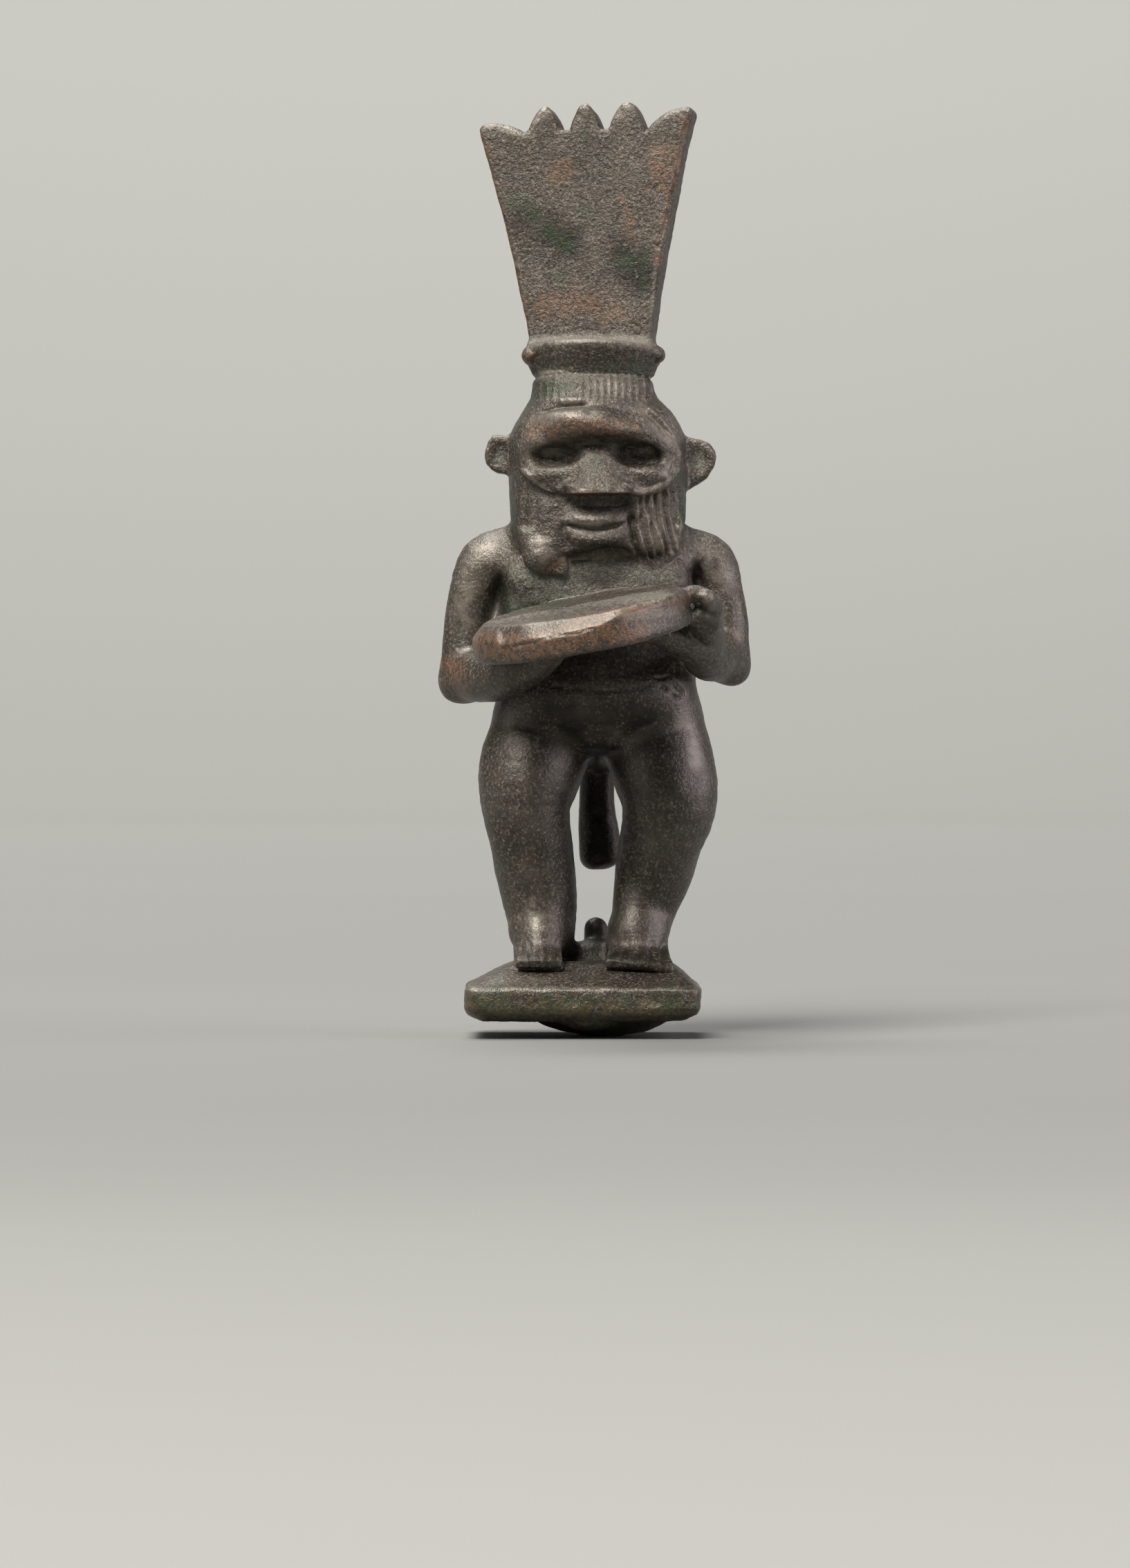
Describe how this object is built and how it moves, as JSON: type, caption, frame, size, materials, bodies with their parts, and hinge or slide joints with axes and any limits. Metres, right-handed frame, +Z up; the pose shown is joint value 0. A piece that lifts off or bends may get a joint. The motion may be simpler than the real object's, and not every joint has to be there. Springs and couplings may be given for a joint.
{
  "type": "deity figurine",
  "caption": "Small cast bronze figurine of a bow-legged, lion-faced dwarf god with a tall plumed crown, holding a round frame drum, on a low plinth.",
  "frame": {"origin": "centre of the figure's axis on the flat underside that the figurine stands on", "axes": "+Z up along the figure to the crown; -Y is the way the figure faces; +X is the figure's own left"},
  "size_m": [0.0248, 0.0273, 0.075],
  "materials": {
    "bronze": "dark brown patinated bronze, satin, with worn ridges and green-grey corrosion in the hollows"
  },
  "bodies": {
    "root": {"figurine": "bronze"}
  },
  "joints": []
}
